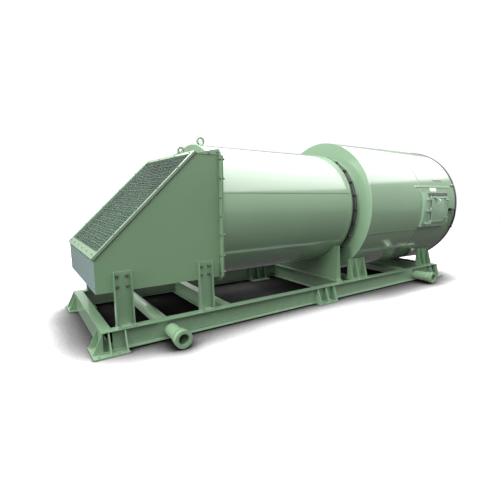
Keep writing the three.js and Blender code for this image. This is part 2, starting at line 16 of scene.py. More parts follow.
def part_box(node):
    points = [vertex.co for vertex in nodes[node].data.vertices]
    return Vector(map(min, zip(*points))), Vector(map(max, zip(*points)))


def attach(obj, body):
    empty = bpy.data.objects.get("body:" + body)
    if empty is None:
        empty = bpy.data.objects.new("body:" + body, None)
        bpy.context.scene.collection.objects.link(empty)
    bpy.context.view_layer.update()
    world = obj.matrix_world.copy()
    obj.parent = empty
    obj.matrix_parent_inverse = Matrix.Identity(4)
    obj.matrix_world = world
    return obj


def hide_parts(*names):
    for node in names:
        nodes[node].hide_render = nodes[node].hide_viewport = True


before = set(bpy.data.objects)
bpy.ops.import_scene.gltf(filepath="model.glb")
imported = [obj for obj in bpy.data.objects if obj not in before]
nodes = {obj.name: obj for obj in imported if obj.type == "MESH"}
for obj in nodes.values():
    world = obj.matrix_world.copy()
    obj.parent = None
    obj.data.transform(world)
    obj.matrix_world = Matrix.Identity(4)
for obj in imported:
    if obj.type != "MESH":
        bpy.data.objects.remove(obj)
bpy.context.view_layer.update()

# %% [markdown]
# ## Where things are
# Workshop drawings count distances from the end of the skid, in millimetres, and heights from the
# ground. Two small functions turn such numbers into Blender's metres, so that the cells below read
# like a drawing. The long axis of the duct and the drum is read from the CAD model.

# %% Drawing units
MM = 0.001
skid_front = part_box("end_beam_front")[0].x
duct_low, duct_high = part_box("duct_shell")
axis_z = (duct_low.z + duct_high.z) / 2


def at(station):
    return skid_front + station * MM


def spot(station, across, height):
    return Vector((at(station), across * MM, height * MM))


def on_drum(station, radius, angle):
    """A point on a round surface: the angle is counted in degrees above the near side's middle."""
    turn = math.radians(angle)
    return Vector((at(station), -radius * MM * math.cos(turn), axis_z + radius * MM * math.sin(turn)))


print("axis height", round(axis_z, 3), "m")

# %% [markdown]
# ## The camera
# The camera stands beside the inlet at about the height of an adult's chest. A fairly wide lens
# explains why the near end of the skid looks so much larger than the far one.

# %% Camera
camera_data = bpy.data.cameras.new("camera")
camera_data.lens = 25.0
camera_data.sensor_width = 36.0
camera = bpy.data.objects.new("camera", camera_data)
camera.location = (-3.452, -4.027, 1.433)
camera.rotation_euler = (math.radians(81.03), 0.0, math.radians(-34.27))
bpy.context.scene.collection.objects.link(camera)
bpy.context.scene.camera = camera
print("camera distance", round((camera.location - Vector((0, 0, axis_z))).length, 2), "m")

# %% [markdown]
# ## Paint as a node group
# Nearly every part wears the same kind of paint, so the effect is built once as a node group. A
# sprayed film is never perfectly even: the tone drifts over a metre or so, fine dust settles low
# down, and the film has a faint orange peel that breaks up the reflections. Large sheets are also a
# little wavy, which bends the lines that they mirror. The group gives a colour, a roughness and a
# normal, and each material sets its own values.

# %% Node helpers
def link(tree, source, target):
    tree.links.new(source, target)


def add_node(tree, kind, **settings):
    node = tree.nodes.new(kind)
    for key, value in settings.items():
        setattr(node, key, value)
    return node


def noise(tree, place, scale, detail=3.0, roughness=0.55):
    node = add_node(tree, "ShaderNodeTexNoise")
    node.inputs["Scale"].default_value = scale
    node.inputs["Detail"].default_value = detail
    node.inputs["Roughness"].default_value = roughness
    link(tree, place, node.inputs["Vector"])
    return node.outputs["Fac"]


def remap(tree, value, low, high, to_low, to_high):
    node = add_node(tree, "ShaderNodeMapRange", clamp=True)
    for name, number in zip(("From Min", "From Max", "To Min", "To Max"), (low, high, to_low, to_high)):
        node.inputs[name].default_value = number
    link(tree, value, node.inputs["Value"])
    return node.outputs["Result"]


def calculate(tree, first, second, operation="MULTIPLY"):
    node = add_node(tree, "ShaderNodeMath", operation=operation)
    for socket, value in zip(node.inputs, (first, second)):
        if isinstance(value, (int, float)):
            socket.default_value = value
        else:
            link(tree, value, socket)
    return node.outputs["Value"]


def blend_colour(tree, factor, first, second):
    node = add_node(tree, "ShaderNodeMix", data_type="RGBA")
    link(tree, factor, node.inputs["Factor"])
    for name, value in (("A", first), ("B", second)):
        socket = next(s for s in node.inputs if s.name == name and s.type == "RGBA")
        if isinstance(value, tuple):
            socket.default_value = value
        else:
            link(tree, value, socket)
    return next(s for s in node.outputs if s.type == "RGBA")


def bump(tree, height, strength, distance, normal=None):
    node = add_node(tree, "ShaderNodeBump")
    node.inputs["Distance"].default_value = distance
    if isinstance(strength, (int, float)):
        node.inputs["Strength"].default_value = strength
    else:
        link(tree, strength, node.inputs["Strength"])
    link(tree, height, node.inputs["Height"])
    if normal is not None:
        link(tree, normal, node.inputs["Normal"])
    return node.outputs["Normal"]


print("node helpers ready")

# %% The paint film group
# How often each unevenness repeats in a metre: slow changes have small numbers, fine grain large ones.
TONE_PATCHES, SHEET_WAVES, SMEARS, SPECKS, ORANGE_PEEL = 1.1, 1.7, 5.0, 16.0, 180.0
DUST_HEIGHT, DUST_LOW, DUST_HIGH = 0.3, 0.30, 0.02
WAVE_DEPTH, PEEL_DEPTH = 0.02, 0.0006
DUST_ROUGHENS = 0.35


def paint_film_group():
    group = bpy.data.node_groups.new("paint_film", "ShaderNodeTree")
    for name, kind in (("Colour", "Color"), ("Drift", "Color"), ("Dust", "Color"),
                       ("Roughness", "Float"), ("Waviness", "Float"), ("Peel", "Float")):
        group.interface.new_socket(name=name, in_out="INPUT", socket_type=f"NodeSocket{kind}")
    for name, kind in (("Colour", "Color"), ("Roughness", "Float"), ("Normal", "Vector")):
        group.interface.new_socket(name=name, in_out="OUTPUT", socket_type=f"NodeSocket{kind}")
    given = group.nodes.new("NodeGroupInput")
    result = group.nodes.new("NodeGroupOutput")
    place = group.nodes.new("ShaderNodeTexCoord").outputs["Object"]
    height = group.nodes.new("ShaderNodeSeparateXYZ")
    link(group, place, height.inputs["Vector"])

    patches = remap(group, noise(group, place, TONE_PATCHES), 0.35, 0.7, 0.0, 1.0)
    toned = blend_colour(group, patches, given.outputs["Colour"], given.outputs["Drift"])
    low_down = remap(group, height.outputs["Z"], 0.0, DUST_HEIGHT, DUST_LOW, DUST_HIGH)
    specks = remap(group, noise(group, place, SPECKS, 6.0, 0.7), 0.45, 0.75, 0.0, 1.0)
    dusty = calculate(group, low_down, specks)
    link(group, blend_colour(group, dusty, toned, given.outputs["Dust"]), result.inputs["Colour"])

    smears = remap(group, noise(group, place, SMEARS, 4.0), 0.3, 0.8, -0.015, 0.025)
    smeared = calculate(group, given.outputs["Roughness"], smears, "ADD")
    matt = calculate(group, smeared, calculate(group, dusty, DUST_ROUGHENS), "ADD")
    link(group, matt, result.inputs["Roughness"])

    waves = bump(group, noise(group, place, SHEET_WAVES, 1.0), given.outputs["Waviness"], WAVE_DEPTH)
    peel = bump(group, noise(group, place, ORANGE_PEEL, 2.0), given.outputs["Peel"], PEEL_DEPTH, waves)
    link(group, peel, result.inputs["Normal"])
    return group


paint_film = paint_film_group()
print("group sockets:", [s.name for s in paint_film.interface.items_tree])

# %% [markdown]
# ## The paints
# The real set is most likely sprayed in one green. Under this simple light a single mix made some parts
# too dark, so each kind of part gets its own: the rolled shells are the glossiest, the frame is a little
# darker and rougher, and the door with its frame, the drum's front plate, the hood's roof and the lifting
# tubes are lighter. These lighter copies, and the shells' copy, which is lighter too, are painted light;
# the front panel's copy is also bluer, a painted reflection of the sky. A clear coat over the colour gives
# the sharp reflections of gloss paint.

# %% Materials made with the group
DUST = (0.34, 0.33, 0.28, 1.0)
PAINT_IOR, COAT_IOR, COAT_ROUGHNESS = 1.55, 1.7, 0.045


def painted(name, colour, drift, roughness, coat=1.0, waviness=0.0, peel=0.35):
    material = bpy.data.materials.new(name)
    material.use_nodes = True
    tree = material.node_tree
    shader = tree.nodes["Principled BSDF"]
    film = add_node(tree, "ShaderNodeGroup", node_tree=paint_film)
    values = {"Colour": (*colour, 1.0), "Drift": (*drift, 1.0), "Dust": DUST,
              "Roughness": roughness, "Waviness": waviness, "Peel": peel}
    for socket, value in values.items():
        film.inputs[socket].default_value = value
    for source, target in (("Colour", "Base Color"), ("Roughness", "Roughness"), ("Normal", "Normal")):
        link(tree, film.outputs[source], shader.inputs[target])
    shader.inputs["IOR"].default_value = PAINT_IOR
    shader.inputs["Coat Weight"].default_value = coat
    shader.inputs["Coat Roughness"].default_value = COAT_ROUGHNESS
    shader.inputs["Coat IOR"].default_value = COAT_IOR
    return material


casing_paint = painted("casing_paint", (0.140, 0.245, 0.138), (0.150, 0.262, 0.150), 0.34, waviness=0.03)
# Painted light: the shell, plate, tube, door and panel copies below are lighter than the casing's green, and
# the panel's is also bluer, a painted reflection of the sky.
shell_paint_painted_light = painted("shell_paint_painted_light", (0.190, 0.300, 0.192), (0.204, 0.320, 0.206), 0.16, waviness=0.035)
plate_paint_painted_light = painted("plate_paint_painted_light", (0.205, 0.330, 0.208), (0.220, 0.350, 0.222), 0.34, waviness=0.03)
frame_paint = painted("frame_paint", (0.132, 0.234, 0.136), (0.146, 0.255, 0.150), 0.38, peel=0.5)
tube_paint_painted_light = painted("tube_paint_painted_light", (0.175, 0.290, 0.170), (0.190, 0.310, 0.185), 0.34, peel=0.5)
door_paint_painted_light = painted("door_paint_painted_light", (0.255, 0.395, 0.275), (0.275, 0.420, 0.295), 0.32, waviness=0.03)
panel_paint = painted("panel_paint", (0.205, 0.330, 0.322), (0.225, 0.360, 0.350), 0.30, waviness=0.03)
inner_paint = painted("inner_paint", (0.060, 0.082, 0.066), (0.075, 0.098, 0.080), 0.5, coat=0.2)
motor_paint = painted("motor_paint", (0.060, 0.105, 0.160), (0.075, 0.125, 0.185), 0.4, coat=0.4)
wire_paint = painted("wire_paint", (0.075, 0.112, 0.090), (0.095, 0.140, 0.112), 0.5, coat=0.2)
label_white = painted("label_white", (0.86, 0.87, 0.85), (0.80, 0.82, 0.80), 0.3, coat=0.3)
print("painted finishes ready")

# %% [markdown]
# ## Bare metal, rubber and cable
# Bolts and clamp bands are zinc plated and the shaft is bare steel, so they are metallic with a fine
# grain, drawn out into turning marks on the shaft. The hinge pin and the clamp screws are darker, as oiled
# steel is. Cast aluminium is duller and grainy. The flexible connector and the cable are black rubber,
# which is never quite black: it bleaches and takes dust. The ring at the outlet and the strips beside the
# screen wear the same black, which on the ring is painted shade and a painted dark reflection at the rim,
# and on the strips painted shade for the gaps beside the screen.

# %% Metals and rubbers
GRAIN_DEPTH = 0.001
TURNING_MARKS = (30.0, 1.0, 1.0)


def textured(name, dark, light, scale, roughness, metallic=0.0, relief=0.3, stretch=(1.0, 1.0, 1.0)):
    material = bpy.data.materials.new(name)
    material.use_nodes = True
    tree = material.node_tree
    shader = tree.nodes["Principled BSDF"]
    place = tree.nodes.new("ShaderNodeTexCoord").outputs["Object"]
    mapping = add_node(tree, "ShaderNodeMapping")
    mapping.inputs["Scale"].default_value = stretch
    link(tree, place, mapping.inputs["Vector"])
    grain = noise(tree, mapping.outputs["Vector"], scale, 5.0, 0.65)
    share = remap(tree, grain, 0.3, 0.7, 0.0, 1.0)
    matt = remap(tree, grain, 0.25, 0.75, roughness - 0.08, roughness + 0.1)
    link(tree, blend_colour(tree, share, (*dark, 1.0), (*light, 1.0)), shader.inputs["Base Color"])
    link(tree, matt, shader.inputs["Roughness"])
    link(tree, bump(tree, grain, relief, GRAIN_DEPTH), shader.inputs["Normal"])
    shader.inputs["Metallic"].default_value = metallic
    return material


zinc = textured("zinc", (0.16, 0.16, 0.15), (0.27, 0.27, 0.26), 120.0, 0.45, 1.0, 0.15)
dark_steel = textured("dark_steel", (0.050, 0.050, 0.052), (0.100, 0.098, 0.100), 90.0, 0.42, 0.5, 0.2)
turned_steel = textured("turned_steel", (0.42, 0.42, 0.43), (0.60, 0.60, 0.61), 60.0, 0.3, 1.0, 0.12,
                        TURNING_MARKS)
cast_metal = textured("cast_metal", (0.36, 0.37, 0.38), (0.52, 0.53, 0.54), 90.0, 0.48, 0.9, 0.4)
# Also painted shade: the outlet ring and the strips beside the screen wear this black for shade and dark
# reflection.
rubber = textured("rubber", (0.032, 0.030, 0.036), (0.070, 0.064, 0.076), 45.0, 0.55, 0.0, 0.35)
cable_sheath = textured("cable_sheath", (0.012, 0.012, 0.012), (0.030, 0.030, 0.032), 70.0, 0.42, 0.0, 0.2)
# A dark mottled finish for the band along the door's upper edge.
dark_band_finish = textured("dark_band_finish", (0.045, 0.060, 0.048), (0.130, 0.165, 0.135), 22.0, 0.45)
print("metals and rubbers ready")

# %% [markdown]
# ## From a bmesh to a finished piece
# Every new piece ends the same way: doubled vertices are merged, the faces are turned outwards, soft
# edges are smoothed and the piece is tied to the CAD body that carries it. Nothing in a workshop has a
# razor edge, so a second helper rounds every edge that turns sharply. That small round is what
# catches the light.

# %% Finishing helpers
SAME_PLACE = 1e-5
SMOOTH, SHARP, FLAT = 35, 30, 0.5  # degrees between neighbouring faces


def merge_doubles(bm):
    bmesh.ops.remove_doubles(bm, verts=bm.verts, dist=SAME_PLACE)


def finish_mesh(name, bm, finish, smooth):
    merge_doubles(bm)
    bmesh.ops.recalc_face_normals(bm, faces=bm.faces)
    mesh = bpy.data.meshes.new(name)
    bm.to_mesh(mesh)
    bm.free()
    for attribute in [a for a in mesh.attributes if a.name == "custom_normal"]:
        mesh.attributes.remove(attribute)
    mesh.materials.clear()
    mesh.materials.append(finish)
    mesh.shade_smooth()
    mesh.set_sharp_from_angle(angle=math.radians(smooth))
    return mesh


def new_piece(name, bm, finish, body="set_frame", stands_for=(), smooth=SMOOTH):
    piece = bpy.data.objects.new(name, finish_mesh(name, bm, finish, smooth))
    bpy.context.scene.collection.objects.link(piece)
    flat_faces = piece.modifiers.new("flat faces stay flat", "WEIGHTED_NORMAL")
    flat_faces.keep_sharp = True
    flat_faces.weight = 100
    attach(piece, body)
    if stands_for:
        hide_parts(*stands_for)
    print(f"{name}: {len(piece.data.polygons)} faces")
    return piece


def round_edges(bm, width):
    """Rounds every edge that turns by more than SHARP degrees; the width is in millimetres."""
    bm.normal_update()
    sharp = [e for e in bm.edges if e.is_manifold and e.calc_face_angle(0.0) > math.radians(SHARP)]
    bmesh.ops.bevel(bm, geom=sharp, offset=width * MM, offset_type="OFFSET", affect="EDGES",
                    segments=2, profile=0.5, material=-1, clamp_overlap=True)


def join_into(bm, part):
    """Adds a finished bmesh to another one."""
    carrier = bpy.data.meshes.new("carrier")
    part.to_mesh(carrier)
    part.free()
    bm.from_mesh(carrier)
    bpy.data.meshes.remove(carrier)


print("finishing helpers ready")

# %% [markdown]
# ## Welded and folded steel
# Beams, feet, legs and flat sheets already have the right shape in the CAD model. A copy of each is
# cleaned first: the loose triangles are merged and flat neighbours become one face. Then the copy gets
# rounded edges, 3 mm on rolled beams and about 1.5 mm on cut plate.

# %% Copies of CAD nodes with rounded edges
def rounded_copy(node, width, finish, body="set_frame"):
    bm = bmesh.new()
    bm.from_mesh(nodes[node].data)
    merge_doubles(bm)
    bmesh.ops.dissolve_limit(bm, angle_limit=math.radians(FLAT), verts=bm.verts, edges=bm.edges)
    round_edges(bm, width)
    return new_piece(f"{node}_steel", bm, finish, body, (node,))


BEAM_EDGE, PLATE_EDGE, SHEET_EDGE, LATCH_EDGE, PEDESTAL_EDGE = 3.0, 1.6, 1.4, 1.5, 2.0
sides = ("near", "far")
beams = [f"long_beam_{side}" for side in sides] + ["end_beam_front", "end_beam_rear"]
beams += [f"cross_beam_{place}" for place in ("hood", "saddle", "drum_front", "drum_rear")]
for beam in beams:
    rounded_copy(beam, BEAM_EDGE, frame_paint)

plates = [f"foot_{place}_{side}" for place in ("front", "middle", "rear") for side in sides]
plates += [f"hood_leg_{place}_{side}" for place in ("front", "rear") for side in sides]
for plate in plates:
    rounded_copy(plate, PLATE_EDGE, frame_paint)

# %% Sheets and flanges of the hood, the saddle and the feet of the drum
sheets = [f"hood_side_{side}" for side in sides] + ["hood_floor", "hood_flange"]
sheets += ["duct_front_plate", "screen_frame", "lifting_lug_hood", "duct_saddle"]
sheets += [f"drum_foot_{place}_{side}" for place in ("front", "rear") for side in sides]
for sheet in sheets:
    rounded_copy(sheet, SHEET_EDGE, casing_paint)
# Painted light: the front panel, the roof and the door frame wear lighter copies of the green, the panel's
# also a painted bluish reflection.
rounded_copy("hood_front_panel", SHEET_EDGE, panel_paint)
rounded_copy("hood_roof", SHEET_EDGE, plate_paint_painted_light)
rounded_copy("door_frame", SHEET_EDGE, door_paint_painted_light)
rounded_copy("motor_pedestal", PEDESTAL_EDGE, inner_paint)

# %% [markdown]
# ## Round shells
# The duct, the drum and their end rings are rolled plate. The natural way to make them is the same as
# on a lathe: draw the outline of the wall once and spin it about the axis. A closed outline gives a
# wall with an inside and an outside, and 144 steps make the edge of a two metre drum look round.

# %% Spinning an outline about an axis
SHELL_STEPS, FAN_STEPS, TUBE_STEPS, EYE_STEPS = 144, 72, 56, 36


def turn_outline(bm, corners, edges, centre, axis, steps):
    bmesh.ops.spin(bm, geom=corners + edges, cent=centre, axis=axis, angle=math.tau, steps=steps,
                   use_merge=True)
    merge_doubles(bm)


def closed_outline(bm, places):
    corners = [bm.verts.new(place) for place in places]
    return corners, [bm.edges.new(pair) for pair in zip(corners, corners[1:] + corners[:1])]


def spun(outline, steps=SHELL_STEPS, width=0.0):
    """outline: (station, radius) pairs in millimetres, in order round the wall."""
    bm = bmesh.new()
    corners, edges = closed_outline(bm, [(at(s), 0, axis_z + r * MM) for s, r in outline])
    turn_outline(bm, corners, edges, (0, 0, axis_z), (1, 0, 0), steps)
    bmesh.ops.recalc_face_normals(bm, faces=bm.faces)
    if width:
        round_edges(bm, width)
    return bm


def wall(start, end, outer, inner):
    return [(start, outer), (end, outer), (end, inner), (start, inner)]


def span(node):
    """Stations of a node's two ends, in millimetres."""
    low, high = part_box(node)
    return (low.x - skid_front) / MM, (high.x - skid_front) / MM


print("spinning helpers ready")

# %% Rings and shells
DUCT_R, DRUM_R, SHELL = 804, 999, 6
AIRWAY_R, COLLAR_R, DIAPHRAGM_R, DIAPHRAGM_HOLE = 715, 785, 991, 702
# Painted light: the duct and drum shells, the inlet collar and the drum's front plate wear lighter copies of
# the green.
rings = {  # outer radius, inner radius, rounding, finish, slot
    "duct_shell": (DUCT_R, DUCT_R - SHELL, 0.8, shell_paint_painted_light, "casing_paint"),
    "duct_rear_plate": (DUCT_R + 4, AIRWAY_R, 2.0, casing_paint, "casing_paint"),
    "inlet_collar": (COLLAR_R, AIRWAY_R, 3.0, plate_paint_painted_light, "casing_paint"),
    "drum_front_plate": (DRUM_R + 2, AIRWAY_R, 2.5, plate_paint_painted_light, "casing_paint"),
    "drum_front_shell": (DRUM_R, DRUM_R - SHELL, 0.8, shell_paint_painted_light, "casing_paint"),
    "casing_diaphragm": (DIAPHRAGM_R, DIAPHRAGM_HOLE, 1.0, inner_paint, "inner_paint"),
    # The outlet ring's black is painted shade and a painted dark reflection at the rim.
    "outlet_ring": (DRUM_R + 6, DRUM_R - 30, 4.0, rubber, "rubber"),
}
for node, (outer, inner, width, finish, slot) in rings.items():
    new_piece(f"{node}_rolled", spun(wall(*span(node), outer, inner), width=width), finish,
              stands_for=(node,))

# %% [markdown]
# ## The wall with the doorway
# The rear section of the drum has a hole behind the access door. Spinning the wall in two arcs leaves
# the hole open: one long arc goes all the way round from the top of the hole to its bottom, and two
# short pieces close the wall beside the hole.

# %% Arcs of plate
STEP_ANGLE = 2.5  # degrees of arc to each flat facet


def arc_plate(bm, start, end, inner, outer, low, high):
    """A piece of rolled plate on the near side, between two angles in degrees above the middle."""
    corners = [bm.verts.new(on_drum(s, r, low)) for s, r in wall(start, end, outer, inner)]
    face = bm.faces.new(corners)
    bmesh.ops.spin(bm, geom=[face, *face.edges, *corners], cent=(0, 0, axis_z), axis=(1, 0, 0),
                   angle=-math.radians(high - low), steps=max(1, round((high - low) / STEP_ANGLE)))


def arc_piece(name, finish, arcs, width=1.0, body="set_frame", stands_for=()):
    bm = bmesh.new()
    for arc in arcs:
        arc_plate(bm, *arc)
    bmesh.ops.recalc_face_normals(bm, faces=bm.faces)
    if width:
        round_edges(bm, width)
    return new_piece(name, bm, finish, body, stands_for)


print("arc helpers ready")

# %% Rear section of the drum, round its doorway
rear_start, rear_end = span("drum_rear_shell")
door_low, door_high = -12.0, 8.8
door_start, door_end = 4985, 5456
# Painted light: the rear shell wears the lighter copy of the green.
arc_piece("drum_rear_shell_rolled", shell_paint_painted_light, [
    (rear_start, rear_end, DRUM_R - SHELL, DRUM_R, door_high, 360 + door_low),
    (rear_start, door_start, DRUM_R - SHELL, DRUM_R, door_low, door_high),
    (door_end, rear_end, DRUM_R - SHELL, DRUM_R, door_low, door_high),
], width=0, stands_for=("drum_rear_shell",))

# %% [markdown]
# ## Seams, gutter and small fittings of the shells
# Rolled plate needs a seam where its ends meet. On the duct the upper sheet laps over the lower one, so
# the seam is a flat strip along the whole length. The drum has one such strip on its front section, a
# ring where its two sections meet, and above the door a folded gutter that keeps rain off, with a narrow
# bracket over it, a blank label under it and a short bracket at the rim. Strips and brackets are arcs of
# plate and rings are spun, each sunk a millimetre into the shell so that no gap shows. Only the label
# stands a millimetre off it.

# %% Seams and beads
SUNK = 1
arc_piece("duct_lap_seam", casing_paint,
          [(1305, 3349, DUCT_R - SUNK, DUCT_R + 4, 16.4, 17.6)])
arc_piece("drum_lap_seam", casing_paint,
          [(3546, 4762, DRUM_R - SUNK, DRUM_R + 4, -20.2, -19.2)])
for name, start, end, inner, outer, width in (
        ("drum_ring_seam", 4763, 4788, DRUM_R - SUNK, DRUM_R + 4, 1.5),
        ("duct_end_bead", 3334, 3350, DUCT_R - SUNK, DUCT_R + 5, 2.0),
        ("duct_start_bead", 1302, 1314, DUCT_R - SUNK, DUCT_R + 6, 2.5)):
    new_piece(name, spun(wall(start, end, outer, inner), width=width), casing_paint)

# %% Gutter, label and brackets
# Painted light: the gutter wears the door's lighter copy of the green, which brightens its top.
arc_piece("door_gutter", door_paint_painted_light,
          [(4641, 5675, DRUM_R - SUNK, DRUM_R + 8, 19.0, 20.7)], 3)
arc_piece("gutter_bracket", casing_paint,
          [(5227, 5486, DRUM_R - SUNK, DRUM_R + 10, 26.1, 27.0)], 3)
arc_piece("blank_label", label_white, [(5049, 5234, DRUM_R + 1, DRUM_R + 3, 15.4, 18.6)], 0.5)
arc_piece("rim_bracket", casing_paint,
          [(5740, 5822, DRUM_R - SUNK, DRUM_R + 26, 21.0, 22.6)], 3)

# %% [markdown]
# ## Bolts
# One helper adds a washer, a hexagon head and, if wanted, the end of a stud on the far side. All bolts
# of one place go into one bmesh, so that a row of forty bolts is one tidy piece.

# %% Bolt helper
def add_disc(bm, place, direction, radius, low, high, sides, tip=1.0):
    """A disc or tapered plug along a direction, from low to high; every measure is in millimetres."""
    turn = Vector((0, 0, 1)).rotation_difference(Vector(direction)).to_matrix().to_4x4()
    middle = Matrix.Translation((0, 0, (low + high) / 2 * MM))
    bmesh.ops.create_cone(bm, cap_ends=True, cap_tris=False, segments=sides, radius1=radius * MM,
                          radius2=radius * tip * MM, depth=(high - low) * MM,
                          matrix=Matrix.Translation(place) @ turn @ middle)


# Shares of the bolt's size, apart from the 4 mm of thread that show past the nut.
WASHER_R, HEAD_R, STUD_R = 0.95, 0.85, 0.48
WASHER_TOP, HEAD_TOP, CROWN_TOP, CROWN_TAPER, NUT_HEIGHT = 0.18, 0.62, 0.78, 0.86, 0.7
THREAD_SHOWS = 4


def add_bolt(bm, place, direction, size, tail=0):
    add_disc(bm, place, direction, size * WASHER_R, 0, size * WASHER_TOP, 14)
    add_disc(bm, place, direction, size * HEAD_R, size * WASHER_TOP, size * HEAD_TOP, 6)
    add_disc(bm, place, direction, size * HEAD_R, size * HEAD_TOP, size * CROWN_TOP, 6, CROWN_TAPER)
    if tail:
        nut = THREAD_SHOWS - tail
        add_disc(bm, place, direction, size * STUD_R, -tail, 1, 10)
        add_disc(bm, place, direction, size * HEAD_R, nut, nut + size * NUT_HEIGHT, 6)


def bolt_piece(name, bolts, size, tail=0, finish=zinc):
    bm = bmesh.new()
    for place, direction in bolts:
        add_bolt(bm, place, direction, size, tail)
    return new_piece(name, bm, finish)


print("bolt helper ready")

# %% Bolts of the hood
AHEAD, BACK, NEAR, FAR, UP = (-1, 0, 0), (1, 0, 0), (0, -1, 0), (0, 1, 0), (0, 0, 1)
FLANGE_FACE, LEG_FACE, CAP_FACE, PANEL_FACE, LEG_FOOT_TOP = 1281.5, 742.5, 739.5, -5, 227.3
flange_heights = (599, 782, 1008, 1208, 1408, 1608, 1807)
flange_rows = [(s * 770, z) for z in flange_heights for s in (-1, 1)]
flange_rows += [(y, z) for y in (-600, -360, -120, 120, 360, 600) for z in (519, 1897)]
bolt_piece("flange_bolts", [(spot(FLANGE_FACE, y, z), AHEAD) for y, z in flange_rows], 16, 48)
leg_bolts = [(187, 690), (277, 690), (187, 588), (277, 588),
             (1052, 686), (1136, 686), (1052, 594), (1136, 594)]
bolt_piece("leg_bolts_near", [(spot(x, -LEG_FACE, z), NEAR) for x, z in leg_bolts], 18)
bolt_piece("leg_bolts_far", [(spot(x, LEG_FACE, z), FAR) for x, z in leg_bolts], 18)
cap_bolts = [(spot(x, side * CAP_FACE, z), (0, side, 0))
             for x, z in ((1165, 1869), (1260, 1880)) for side in (-1, 1)]
bolt_piece("cap_bolts", cap_bolts, 11)
panel_bolts = [(-705, 683), (-705, 600), (612, 716), (690, 600)]
bolt_piece("panel_bolts", [(spot(PANEL_FACE, y, z), AHEAD) for y, z in panel_bolts], 9)
foot_bolts = [(x, y) for x in (172, 296, 1036, 1153) for y in (-770, 770, -822, 822)]
bolt_piece("leg_foot_bolts", [(spot(x, y, LEG_FOOT_TOP), UP) for x, y in foot_bolts], 13)

# %% [markdown]
# ## The wire screen
# The sloping opening is closed by a welded mesh: two layers of straight wire, and every second cross wire
# is a thicker rod that carries the sheet. All wires are made flat on the ground as thin prisms, then the
# whole mesh is turned up into the slope, which the drawing gives by the height of its lower edge, the
# height of its upper edge and its angle. Bolts and a dark strip beside the frame follow the same slope;
# the strip is painted shade for the shadowed gap between the frame and the side plate.

# %% The slope
SLOPE_LOW, SLOPE_HIGH, SLOPE_ANGLE = 846, 1858, math.radians(44.33)
slope_length = (SLOPE_HIGH - SLOPE_LOW) / math.sin(SLOPE_ANGLE)
to_slope = Matrix.Translation(spot(PANEL_FACE, 0, SLOPE_LOW)) @ Matrix.Rotation(-SLOPE_ANGLE, 4, "Y")
slope_out = (to_slope.to_3x3() @ Vector((0, 0, 1))).normalized()


def on_slope(run, across, out):
    return to_slope @ Vector((run * MM, across * MM, out * MM))


def add_bar(bm, start, end, radius, sides):
    run = Vector(end) - Vector(start)
    middle = Matrix.Translation((Vector(start) + Vector(end)) / 2)
    turn = Vector((0, 0, 1)).rotation_difference(run).to_matrix().to_4x4()
    bmesh.ops.create_cone(bm, cap_ends=True, cap_tris=False, segments=sides, radius1=radius,
                          radius2=radius, depth=run.length, matrix=middle @ turn)


print("slope length", round(slope_length), "mm")

# %% Mesh in the slope
PITCH, WIRE_SIDES = 31, 5
ALONG_R, ROD_R, CROSS_R = 0.0015, 0.0027, 0.0014
ALONG_Z, CROSS_Z = 0.014, 0.018
MESH_LOW, MESH_HIGH, MESH_HALF, FIRST_WIRE = 84, slope_length - 42, 694, 8


def wire_mesh():
    bm = bmesh.new()
    for row in range(int(2 * MESH_HALF / PITCH) + 1):
        y = (-MESH_HALF + FIRST_WIRE + row * PITCH) * MM
        add_bar(bm, (MESH_LOW * MM, y, ALONG_Z), (MESH_HIGH * MM, y, ALONG_Z), ALONG_R, WIRE_SIDES)
    for row in range(int((MESH_HIGH - MESH_LOW) / PITCH) + 1):
        x = (MESH_LOW + FIRST_WIRE + row * PITCH) * MM
        radius = ROD_R if row % 2 == 0 else CROSS_R
        add_bar(bm, (x, -MESH_HALF * MM, CROSS_Z), (x, MESH_HALF * MM, CROSS_Z), radius, WIRE_SIDES)
    bmesh.ops.transform(bm, matrix=to_slope, verts=bm.verts)
    return bm


new_piece("wire_mesh", wire_mesh(), wire_paint, stands_for=("inlet_screen",))

# %% Bolts of the screen and its strips of painted gap shade
FRAME_TOP = 32
STRIP_WIDTH, STRIP_DEPTH, STRIP_ACROSS, STRIP_OUT = 7, 9, 738, 5
bar_bolts = [(44, y) for y in (-640, -380, -130, 130, 380, 640)]
bar_bolts += [(slope_length - 21, y) for y in (-640, -240, 240, 640)]
bar_bolts += [(run, side * 714) for run in (300, 600, 900, 1200) for side in (-1, 1)]
bolt_piece("screen_bolts", [(on_slope(run, y, FRAME_TOP), slope_out) for run, y in bar_bolts], 10)


def painted_gap_shade_strip():
    bm = bmesh.new()
    for side in (-1, 1):
        made = bmesh.ops.create_cube(bm, size=1.0)["verts"]
        bmesh.ops.scale(bm, vec=((slope_length - 6) * MM, STRIP_WIDTH * MM, STRIP_DEPTH * MM), verts=made)
        middle = Vector((slope_length / 2, side * STRIP_ACROSS, STRIP_OUT)) * MM
        bmesh.ops.translate(bm, vec=middle, verts=made)
        bmesh.ops.transform(bm, matrix=to_slope, verts=made)
    return bm


# Painted shade: these dark strips stand for the shadowed gaps between the frame and the side plates.
new_piece("screen_painted_gap_shade", painted_gap_shade_strip(), rubber)

# %% [markdown]
# ## The flexible connector
# Between duct and drum sits a rubber sleeve, so that the shaking of the fan doesn't reach the duct. It
# is a bellows held at each end by a steel band, and a ring of dark clamp screws goes round the band
# nearest the drum.

